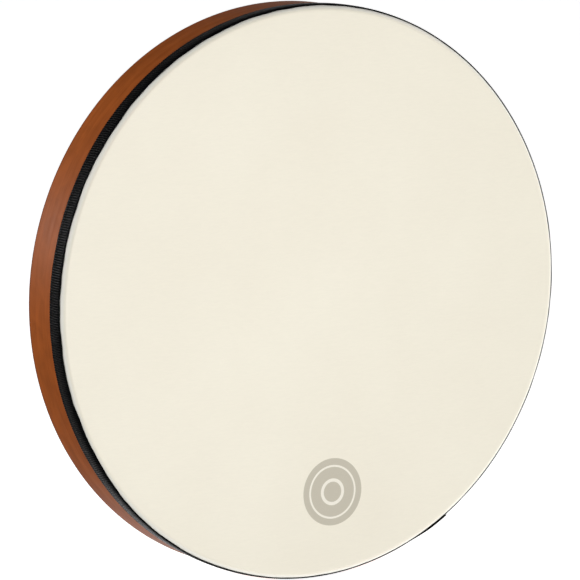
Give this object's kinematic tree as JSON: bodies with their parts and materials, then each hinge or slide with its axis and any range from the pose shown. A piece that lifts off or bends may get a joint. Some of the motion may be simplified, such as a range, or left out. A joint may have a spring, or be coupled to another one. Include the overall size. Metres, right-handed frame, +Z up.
{
  "type": "frame drum",
  "caption": "Large shallow single-headed frame drum: bent laminated wood shell with a thumb hole and open back, fixed cream film head, black woven tape round its edge.",
  "frame": {"origin": "middle of the drum's bounding box, on its axis and halfway between the head and the rear rim", "axes": "+Y along the drum's axis from the head towards the open back, +Z up in the playing position, +X towards the thumb hole"},
  "size_m": [0.512, 0.0604, 0.512],
  "materials": {
    "stained_wood": "satin brown stain under clear lacquer",
    "head_film": "matte cream film",
    "woven_black": "black ribbed woven tape"
  },
  "bodies": {
    "root": {"shell_ply_outer_face": "stained_wood", "shell_ply_core_1": "stained_wood", "shell_ply_core_2": "stained_wood", "shell_ply_core_3": "stained_wood", "shell_ply_core_4": "stained_wood", "shell_ply_inner_face": "stained_wood", "drumhead": "head_film", "edge_tape": "woven_black"}
  },
  "joints": []
}
